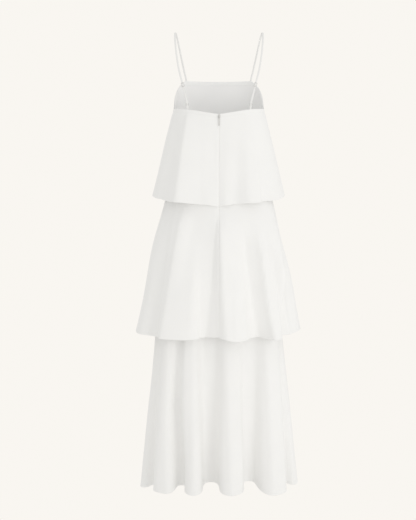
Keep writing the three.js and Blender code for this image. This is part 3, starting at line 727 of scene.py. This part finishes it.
tier1_relief = tier_relief(tier1, ZIP_AND_SIDES, TIER1_CREASES, slack_high=0.9, seed=3)
tier2_relief = tier_relief(tier2, ZIP_AND_SIDES, TIER2_CREASES, slack_high=1.3, seed=4)
tier3_relief = tier_relief(tier3, TIER3_SIDES, TIER3_CREASES, slack_high=1.5, seed=5)
tier1_edges = add(tier1_relief, neckline_relief, lip_relief)
halves_and_front("sheath", sheath, fall=500, step=9, relief=add(sheath_relief, lip_relief))
halves_and_front("tier1", tier1, fall=300, step=4.5, relief=tier1_edges)
halves_and_front("tier2", tier2, fall=487, step=5, relief=add(tier2_relief, lip_relief))
right_crest = tier3.row_at(TIER3_RIGHT)
for part, first, last in (("back", 0, right_crest), ("front", right_crest, tier3.last)):
    full = "tier3_" + part
    panels[full] = Panel(full, tier3, first, last, fall=650, step=5.5, relief=tier3_relief)


# Straps and their fittings

ACROSS = np.array([1.0, 0.0, 0.0])
STRAP_WIDE = 5.4
STRAP_THICK = 2.4
STRAP_STEP = 1.3
STRAP_SIDES = 14
TAB_STEP = 0.8
SOLID_THICK = 2.2  # of the strap when its route was laid out
STRAP_ROUTE = [
    (104.5, -77, -104), (112, -58, -68), (119.5, -35, -30), (124.5, -17, -7), (127.5, 0, 2),
    (128.5, 17, -6), (127, 35, -30), (123, 51, -66), (116, 63, -108),
]
ADJUSTER_AT = (105, 72.5, -151)
RING_AT = (91.5, 81.5, -208)
RING_RADIUS = 3.8
RING_WIRE = 0.8
RING_STEPS = (56, 14)  # round the ring, and round its wire
TACKS_ALONG = (-1.2, 0.2)  # of the stitches that hold the strap's end at the adjuster
TACK_OUT = -3.5
TAB_FOOT = 39  # from the centre back round to a strap's back foot, in degrees
SEAT = 0.5  # a foot leaves the neckline this far above its edge
FOOT_RISE = 4
FOOT_SEWN = 4  # length of strap caught between the two layers of the neckline
LEFT, RIGHT = 1, -1

# The strap's way through the adjuster and back to it from the ring: along the strap, and out of it.
WEAVE = [(13, -1.4), (5.4, -2.5), (0, 2.5), (-5.4, -2.5)]
RETURN = [(-13, -5), (-5.4, -5.2), (-2.4, -3.8), (0, -2.2), (1.4, -2.2)]


def sampled(at, arc, values):
    """Points or directions at given lengths along a path."""
    return np.stack([np.interp(at, arc, column) for column in values.T], axis=-1)


def curve_through(points, step):
    """A curve through points, a step apart, that stays tight where the points lie close."""
    p = np.array(points, float)
    p = np.concatenate([[2 * p[0] - p[1]], p, [2 * p[-1] - p[-2]]])
    gap = np.linalg.norm(np.diff(p, axis=0), axis=1) ** 0.5
    t = np.linspace(0, 1, 24, endpoint=False)[:, None]
    spans = []
    for i in range(1, len(p) - 2):
        a, b, c, d = p[i - 1 : i + 3]
        before, here, after = gap[i - 1 : i + 2]
        leave = (b - a) / before - (c - a) / (before + here) + (c - b) / here
        arrive = (c - b) / here - (d - b) / (here + after) + (d - c) / after
        spans.append(between(b, c, leave * here, arrive * here, t))
    return evenly(np.concatenate([*spans, p[-2:-1]]), step)


def evenly(path, step):
    arc = arc_along(path)
    return sampled(np.linspace(0, arc[-1], max(2, round(arc[-1] / step)) + 1), arc, path)


def loop_faces(loops, around, closed=False):
    """Quads between loops of points, each with "around" of them."""
    faces = []
    for i in range(loops if closed else loops - 1):
        here, there = i * around, (i + 1) % loops * around
        for k in range(around):
            after = (k + 1) % around
            faces.append((here + k, here + after, there + after, there + k))
    return faces


def capped_loops(loops):
    """Points and faces of a tube from its loops, with a point at the middle of each end."""
    count, around = loops.shape[:2]
    points = np.concatenate([loops.reshape(-1, 3), loops[[0, -1]].mean(axis=1)])
    faces = loop_faces(count, around)
    start, end, last = count * around, count * around + 1, (count - 1) * around
    for k in range(around):
        after = (k + 1) % around
        faces.append((start, after, k))
        faces.append((end, last + k, last + after))
    return points, faces


def round_turn(steps):
    return np.linspace(0, 2 * math.pi, steps, endpoint=False)


def flat_tube(path, wide, thick, sides, across=ACROSS):
    """Loops of a flattened tube with rounded ends; wide and thick may change along the path."""
    along = unit(np.gradient(path, axis=0))
    level = unit(across - (along @ across)[:, None] * along)
    out = np.cross(along, level)
    turn = round_turn(sides)
    wide, thick = np.broadcast_to(wide, len(path)), np.broadcast_to(thick, len(path))

    def loop(i, shift, scale):
        x = scale * wide[i] / 2 * np.cos(turn)
        y = scale * thick[i] / 2 * np.sin(turn)
        centre = path[i] + shift * thick[i] / 2 * along[i]
        return centre + x[:, None] * level[i] + y[:, None] * out[i]

    start = [loop(0, -0.95, 0.4), loop(0, -0.6, 0.8)]
    end = [loop(-1, 0.6, 0.8), loop(-1, 0.95, 0.4)]
    return np.array([*start, *(loop(i, 0, 1) for i in range(len(path))), *end])


def tube_uv(loops):
    """Lengths round and along a tube, in metres, for its weave."""
    count, around = loops.shape[:2]
    girth = np.linalg.norm(loops[count // 2] - np.roll(loops[count // 2], 1, axis=0), axis=1).sum()
    round_it = np.tile(np.abs(np.linspace(-1, 1, around, endpoint=False)) * girth / 2, (count, 1))
    fall = np.repeat(arc_along(loops.mean(axis=1))[:, None], around, axis=1)
    uv = np.stack([round_it, fall], axis=-1).reshape(-1, 2)
    return np.concatenate([uv, uv[[0, -1]]]) * MM


def sewn_strap(name, path, feet):
    """A rolled strap along its route, pressed thin over each foot that is caught in the neckline."""
    arc = arc_along(path)
    thin = np.ones(len(path))
    for foot in feet:
        away = arc if foot == "start" else arc[-1] - arc
        thin -= 0.7 * (1 - smooth_step((away - FOOT_SEWN + 1) / 3))
    uneven = 1 + 0.025 * np.sin(arc / 7.3 + 2 * np.sin(arc / 41))
    loops = flat_tube(path, STRAP_WIDE * uneven, STRAP_THICK * thin / uneven, STRAP_SIDES)
    seam = np.array([0.9] + [1] * (STRAP_SIDES - 1))[None, :, None]
    middle = loops.mean(axis=1, keepdims=True)
    loops = middle + (loops - middle) * seam
    points, faces = capped_loops(loops)
    return on_dress(new_piece(name + "_rouleau", points, faces, tube_uv(loops)), name)


def neckline_seat(deg):
    """Where a strap's foot leaves the neckline, between the sheath and tier 1."""
    down = neckline_down(deg)
    return oval_point(section_at(SHEATH, down), deg, GAP / 2, down - SEAT)


def half_turn(wire, over):
    """From the back of the ring's wire to its front, below (-1) or above (1) it."""
    radius = SOLID_THICK / 2 + RING_WIRE + GAP
    turns = np.radians([90, 45, 0, -45, -90])
    return [wire + radius * np.array([0, math.sin(a), over * math.cos(a)]) for a in turns]


class StrapSide:
    """Where the strap, its fittings and its tab lie on one side of the body."""

    def __init__(self, side):
        mirror = np.array([side, 1, 1])
        route = [mirror * row for row in STRAP_ROUTE]
        self.centre = mirror * ADJUSTER_AT
        self.ring = mirror * RING_AT
        upper = self.ring + (0, 0, RING_RADIUS)
        lower = self.ring - (0, 0, RING_RADIUS)
        self.along = unit(route[-1] - upper)
        self.level = unit(ACROSS - (self.along @ ACROSS) * self.along)
        self.out = np.cross(self.along, self.level)
        foot = neckline_seat(CENTRE_BACK - side * STRAP_CORNER)
        sewn = np.array([0, 0, -FOOT_SEWN])
        rise = np.array([0, 0, FOOT_RISE])
        self.route = [foot + sewn, foot, foot + rise, *route, *map(self.beside, WEAVE)]
        self.route += [*half_turn(upper, -1), *map(self.beside, RETURN)]
        foot = neckline_seat(CENTRE_BACK - side * TAB_FOOT)
        apart = np.array([0, (SOLID_THICK + GAP) / 2, 0])
        close = apart * 0.35
        self.tab = [foot + sewn + close, foot + apart, *half_turn(lower, 1)]
        self.tab += [foot - apart, foot + sewn - close]

    def beside(self, row):
        return self.centre + row[0] * self.along + row[1] * self.out


def strap_ring(name, centre):
    """A ring of round wire that stands across the back."""
    steps, wire_steps = RING_STEPS
    turn = round_turn(steps)
    circle = np.stack([np.cos(turn), 0 * turn, np.sin(turn)], axis=-1)
    swell = round_turn(wire_steps)
    wire = np.cos(swell)[None, :, None] * circle[:, None] + np.sin(swell)[:, None] * (0, 1, 0)
    loops = centre + RING_RADIUS * circle[:, None] + RING_WIRE * wire
    faces = loop_faces(steps, wire_steps, closed=True)
    ring = new_piece("ring_" + name, loops.reshape(-1, 3), faces)
    return on_dress(ring, "strap_ring_" + name)


straps, rings, tacks = [], [], []
for side, name in ((LEFT, "left"), (RIGHT, "right")):
    laid = StrapSide(side)
    strap_path, tab_path = curve_through(laid.route, STRAP_STEP), curve_through(laid.tab, TAB_STEP)
    straps.append(sewn_strap("strap_" + name, strap_path, ["start"]))
    straps.append(sewn_strap("strap_tab_" + name, tab_path, ["start", "end"]))
    rings.append(strap_ring(name, laid.ring))
    for along in TACKS_ALONG:
        tacks.append((laid.beside((along, TACK_OUT)), laid.level, -laid.out))


# Zip: two halves of tape with their coil, inside the sheath

TAPE_TURN = 10
TAPE_TOP = 240
TAPE_END = ZIP_END + 19
TAPE_THICK = 0.7
TAPE_APART = 0.12
TAPE_LEVEL = -CLOTH - 2 * GAP
COIL_PITCH = 1.4
COIL_WIRE = 0.32
COIL_REACH = 2.0
COIL_BACK = 0.4  # between the coil and its tape


def zip_tape():
    """Both halves of the tape as one mesh, woven straight down."""
    every_point, every_face, every_uv, wide, start = [], [], [], 0, 0
    down = np.linspace(TAPE_TOP, TAPE_END, 90)
    for side in (LEFT, RIGHT):
        deg = CENTRE_BACK + side * np.linspace(TAPE_APART, TAPE_TURN / 2, 9)
        deg, fall = np.meshgrid(deg if side == RIGHT else deg[::-1], down, indexing="ij")
        section = section_at(SHEATH, fall)
        outer = oval_point(section, deg, TAPE_LEVEL, fall)
        inner = oval_point(section, deg, TAPE_LEVEL - TAPE_THICK, fall)
        if side == LEFT:
            outer, inner = outer[::-1], inner[::-1]
        points, faces = closed_cloth(outer, inner)
        every_point.append(points)
        every_face += [tuple(v + start for v in face) for face in faces]
        every_uv.append(points[:, [0, 2]] * MM)
        start += len(points)
        wide += np.ptp(points[:, 0])
    uv = np.concatenate(every_uv)
    piece = new_piece("zip_tape_cloth", np.concatenate(every_point), every_face, uv)
    return piece, wide * MM, (TAPE_END - TAPE_TOP) * MM


def copies(name, shape, origins, axes):
    """One mesh of many copies of a small shape, each with its own origin and three axes."""
    points, faces = shape
    placed = origins[:, None] + np.einsum("pk,mkc->mpc", points, axes)
    joined = []
    for i in range(len(origins)):
        joined += [tuple(v + i * len(points) for v in face) for face in faces]
    return new_piece(name, placed.reshape(-1, 3), joined)


def zip_coil():
    """The turns of the closed coil, hooked into each other down the middle of the tape."""
    bend = np.linspace(-0.5, 0.5, 7) * math.pi
    hook = np.stack([COIL_REACH * np.cos(bend) - 1.5, 0.45 * np.sin(bend), 0.25 * bend], axis=-1)
    turn = capped_loops(flat_tube(hook, COIL_WIRE * 2, COIL_WIRE * 2, 6, np.array([0, 0, 1.0])))
    count = int((ZIP_END - TAPE_TOP) / COIL_PITCH)
    origins, axes = [], []
    for side in (LEFT, RIGHT):
        down = TAPE_TOP + COIL_PITCH * (np.arange(count) + 0.25 * side)
        level = TAPE_LEVEL - TAPE_THICK - COIL_WIRE - COIL_BACK
        origins.append(oval_point(section_at(SHEATH, down), CENTRE_BACK, level, down))
        axes.append(np.tile(np.diag([-side, 1.0, 1.0]), (count, 1, 1)))
    return copies("zip_coil", turn, np.concatenate(origins), np.concatenate(axes))


tape, tape_wide, tape_long = zip_tape()
on_dress(tape, "zip_tape")
coil = on_dress(zip_coil())


# Stitches

STITCH_PITCH = 3.0
STITCH_LONG = 2.2
THREAD = 0.42
TACK_LONG = 3.6


def stitch_shape(long):
    """One stitch along x, arched over the cloth, with both ends going down into it."""
    along = np.linspace(-1, 1, 6)
    arch = np.stack([along * long / 2, 0 * along, 0.3 * THREAD - 0.6 * THREAD * along**4], axis=-1)
    thick = THREAD * (1 - 0.45 * along**4)
    return capped_loops(flat_tube(arch, thick, thick, 5, np.array([0, 1.0, 0])))


def stitch_row(name, paths):
    """Stitches an even pitch apart along paths, given as points with the cloth's normals."""
    origins, axes = [], []
    for path, normals in paths:
        arc = arc_along(path)
        at = np.arange(STITCH_PITCH / 2, arc[-1], STITCH_PITCH)
        up = unit(sampled(at, arc, normals))
        way = sampled(at, arc, np.gradient(path, arc, axis=0))
        way = unit(way - (way * up).sum(axis=1, keepdims=True) * up)
        origins.append(sampled(at, arc, path))
        axes.append(np.stack([way, np.cross(up, way), up], axis=1))
    shape = stitch_shape(STITCH_LONG)
    return on_dress(copies(name, shape, np.concatenate(origins), np.concatenate(axes)))


def strap_tacks():
    """The stitches across the straps that hold their ends at the adjusters."""
    origins, ways, ups = (np.array(rows) for rows in zip(*tacks))
    axes = np.stack([ways, np.cross(ups, ways), ups], axis=1)
    return on_dress(copies("strap_tacks", stitch_shape(TACK_LONG), origins, axes))


def outside_row(panel, row):
    return panel.outer[:, row], panel.normals[:, row]


def inside_row(panel, row):
    return panel.inner[:, row], -panel.normals[:, row]


HEM_ROW = -1 - EDGE_ROWS.index(HEM_HIGH)
NECK_ROW = EDGE_ROWS.index(NECK_TURN)
threads = []
for tier in ("tier1", "tier2", "tier3"):
    hems = [outside_row(panel, HEM_ROW) for name, panel in panels.items() if tier in name]
    threads.append(stitch_row(tier + "_hem_stitches", hems))
for layer, row in (("tier1", outside_row), ("sheath", inside_row)):
    edges = [row(panel, NECK_ROW) for name, panel in panels.items() if layer in name]
    threads.append(stitch_row(layer + "_neckline_stitches", edges))
threads.append(strap_tacks())


# Finishes


def node_group(name, inputs, outputs):
    """An empty shader group with its sockets, all of them numbers."""
    group = bpy.data.node_groups.new(name, "ShaderNodeTree")
    for label, default in inputs:
        socket = group.interface.new_socket(label, in_out="INPUT", socket_type="NodeSocketFloat")
        socket.default_value = default
    for label in outputs:
        group.interface.new_socket(label, in_out="OUTPUT", socket_type="NodeSocketFloat")
    return group, group.nodes.new("NodeGroupInput"), group.nodes.new("NodeGroupOutput")


def maths(tree, operation, a, b=None):
    node = tree.nodes.new("ShaderNodeMath")
    node.operation = operation
    for socket, value in zip(node.inputs, (a, b)):
        if value is None:
            continue
        if isinstance(value, (int, float)):
            socket.default_value = value
        else:
            tree.links.new(value, socket)
    return node.outputs[0]


def times(tree, a, b):
    return maths(tree, "MULTIPLY", a, b)


def plus(tree, a, b):
    return maths(tree, "ADD", a, b)


def noise(tree, place, scale, detail=2):
    """Unevenness from 0 to 1 over a place."""
    node = tree.nodes.new("ShaderNodeTexNoise")
    node.inputs["Scale"].default_value = scale
    node.inputs["Detail"].default_value = detail
    tree.links.new(place, node.inputs["Vector"])
    return node.outputs["Fac"]


def raise_bumps(tree, shader, height, strength, distance):
    """Leads a height to the shader as fine bumps."""
    bump = tree.nodes.new("ShaderNodeBump")
    bump.inputs["Strength"].default_value = strength
    bump.inputs["Distance"].default_value = distance
    tree.links.new(height, bump.inputs["Height"])
    tree.links.new(bump.outputs["Normal"], shader.inputs["Normal"])


def weave_group():
    """Plain weave with uneven threads: their height, and a faint cloudiness of the tone."""
    inputs = (("Threads per metre", 2400.0), ("Slub", 0.3), ("Tone", 0.05))
    group, given, made = node_group("woven_cloth", inputs, ("Height", "Tone"))
    uv = group.nodes.new("ShaderNodeUVMap")
    uv.uv_map = "UVMap"
    split = group.nodes.new("ShaderNodeSeparateXYZ")
    group.links.new(uv.outputs["UV"], split.inputs[0])
    uneven = noise(group, uv.outputs["UV"], 900, 3)
    slub = maths(group, "SUBTRACT", uneven, 0.5)
    wander = times(group, slub, given.outputs["Slub"])
    waves = []
    for axis in (0, 1):
        count = times(group, split.outputs[axis], given.outputs["Threads per metre"])
        turns = times(group, plus(group, count, wander), math.pi)
        waves.append(maths(group, "SINE", turns))
    over = times(group, *waves)
    raised = times(group, maths(group, "ABSOLUTE", over), 0.8)
    hairy = times(group, uneven, 0.4)
    group.links.new(plus(group, raised, hairy), made.inputs["Height"])
    cloud = maths(group, "SUBTRACT", noise(group, uv.outputs["UV"], 14, 4), 0.5)
    shade = times(group, cloud, given.outputs["Tone"])
    group.links.new(plus(group, shade, 1.0), made.inputs["Tone"])
    return group


WOVEN = weave_group()


def new_finish(name, colour, roughness, **constants):
    finish = bpy.data.materials.new(name)
    finish.use_nodes = True
    shader = finish.node_tree.nodes["Principled BSDF"]
    shader.inputs["Base Color"].default_value = (*colour, 1)
    shader.inputs["Roughness"].default_value = roughness
    for socket, value in constants.items():
        shader.inputs[socket.replace("_", " ")].default_value = value
    return finish, finish.node_tree, shader


def tinted(tree, tone, colour):
    """A colour made lighter or darker by a tone close to 1."""
    mix = tree.nodes.new("ShaderNodeVectorMath")
    mix.operation = "SCALE"
    mix.inputs[0].default_value = colour
    tree.links.new(tone, mix.inputs["Scale"])
    return mix.outputs[0]


def cloth_finish(name, colour, roughness, threads, deep):
    """Woven cloth, with its threads per metre and the depth of its weave."""
    finish, tree, shader = new_finish(
        name, colour, roughness, Sheen_Weight=0.1, Sheen_Roughness=0.5, Specular_IOR_Level=0.2
    )
    woven = tree.nodes.new("ShaderNodeGroup")
    woven.node_tree = WOVEN
    woven.inputs["Threads per metre"].default_value = threads
    raise_bumps(tree, shader, woven.outputs["Height"], 0.35, deep)
    tree.links.new(tinted(tree, woven.outputs["Tone"], colour), shader.inputs["Base Color"])
    return finish


def worn_group():
    """Wear of a painted metal: a mask on its edges, and fine scratches all over."""
    inputs = (("Wear", 0.4), ("Scratches", 0.3))
    group, given, made = node_group("worn_edges", inputs, ("Bare", "Scratch"))
    shape = group.nodes.new("ShaderNodeNewGeometry")
    speckle = noise(group, shape.outputs["Position"], 1800, 4)
    raised = times(group, maths(group, "SUBTRACT", shape.outputs["Pointiness"], 0.5), 9)
    broken = times(group, raised, plus(group, speckle, 0.4))
    bare = times(group, broken, given.outputs["Wear"])
    bare = maths(group, "MINIMUM", maths(group, "MAXIMUM", bare, 0), 1)
    group.links.new(bare, made.inputs["Bare"])
    stretch = group.nodes.new("ShaderNodeVectorMath")
    stretch.operation = "MULTIPLY"
    stretch.inputs[1].default_value = (9000, 9000, 700)
    group.links.new(shape.outputs["Position"], stretch.inputs[0])
    fine = noise(group, stretch.outputs[0], 1)
    scratch = times(group, fine, given.outputs["Scratches"])
    group.links.new(scratch, made.inputs["Scratch"])
    return group


WORN = worn_group()


def metal_finish(name, paint, bare, wear):
    finish, tree, shader = new_finish(name, paint, 0.35, Metallic=0.85)
    worn = tree.nodes.new("ShaderNodeGroup")
    worn.node_tree = WORN
    worn.inputs["Wear"].default_value = wear
    mix = tree.nodes.new("ShaderNodeMix")
    mix.data_type = "RGBA"
    mix.inputs["A"].default_value = (*paint, 1)
    mix.inputs["B"].default_value = (*bare, 1)
    tree.links.new(worn.outputs["Bare"], mix.inputs["Factor"])
    tree.links.new(mix.outputs["Result"], shader.inputs["Base Color"])
    tree.links.new(plus(tree, worn.outputs["Scratch"], 0.22), shader.inputs["Roughness"])
    raise_bumps(tree, shader, worn.outputs["Scratch"], 0.2, 0.00005)
    return finish


def thread_finish(name, colour):
    """Spun thread: a soft sheen and a fine uneven twist."""
    finish, tree, shader = new_finish(name, colour, 0.5, Sheen_Weight=0.2)
    place = tree.nodes.new("ShaderNodeNewGeometry")
    twist = noise(tree, place.outputs["Position"], 2500)
    raise_bumps(tree, shader, twist, 0.5, 0.0001)
    tone = plus(tree, times(tree, twist, 0.1), 0.95)
    tree.links.new(tinted(tree, tone, colour), shader.inputs["Base Color"])
    return finish


FINE, COARSE = 2600, 1500  # threads per metre
THIN_WEAVE, THICK_WEAVE = 0.0001, 0.00015
DRESS_WHITE = (0.95, 0.945, 0.93)
METAL_PAINT = (0.62, 0.61, 0.59)
METAL_BARE = (0.8, 0.79, 0.76)
WHITE_CLOTH = cloth_finish("white_crepe", DRESS_WHITE, 0.82, FINE, THIN_WEAVE)
# Painted light: the lining is whiter than the dress's crepe, standing in for light that reaches the
# inside of the bodice.
LIT_WHITE_LINING = cloth_finish("lit_white_lining", (0.985, 0.98, 0.97), 0.75, FINE, THIN_WEAVE)
# Painted shade: the straps' white is darker than the dress's, standing in for the shade they hang
# in.
SHADED_WHITE_STRAP = cloth_finish("shaded_white_strap", (0.86, 0.855, 0.84), 0.7, FINE, THIN_WEAVE)
WHITE_TAPE = cloth_finish("white_tape", (0.92, 0.915, 0.9), 0.75, COARSE, THICK_WEAVE)
WHITE_THREAD = thread_finish("white_thread", DRESS_WHITE)
WHITE_COIL = thread_finish("white_coil", (0.9, 0.895, 0.88))
PALE_METAL = metal_finish("pale_metal", METAL_PAINT, METAL_BARE, wear=0.4)
EDGE_ROUND = 0.2


def dress_in(finish, *pieces):
    for piece in pieces:
        piece.data.materials.append(finish)


for name, panel in panels.items():
    dress_in(LIT_WHITE_LINING if "sheath" in name else WHITE_CLOTH, panel.piece)
dress_in(SHADED_WHITE_STRAP, *straps)
dress_in(WHITE_TAPE, tape)
dress_in(WHITE_COIL, coil)
dress_in(WHITE_THREAD, *threads)
dress_in(PALE_METAL, *rings)

for name in ("strap_adjuster_left", "strap_adjuster_right", "zip_slider", "zip_pull"):
    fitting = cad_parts[name]
    fitting.data.materials.clear()
    dress_in(PALE_METAL, fitting)
    rounded = fitting.modifiers.new("rounded_edges", "BEVEL")
    rounded.width = EDGE_ROUND * MM
    rounded.segments = 3
    rounded.harden_normals = True
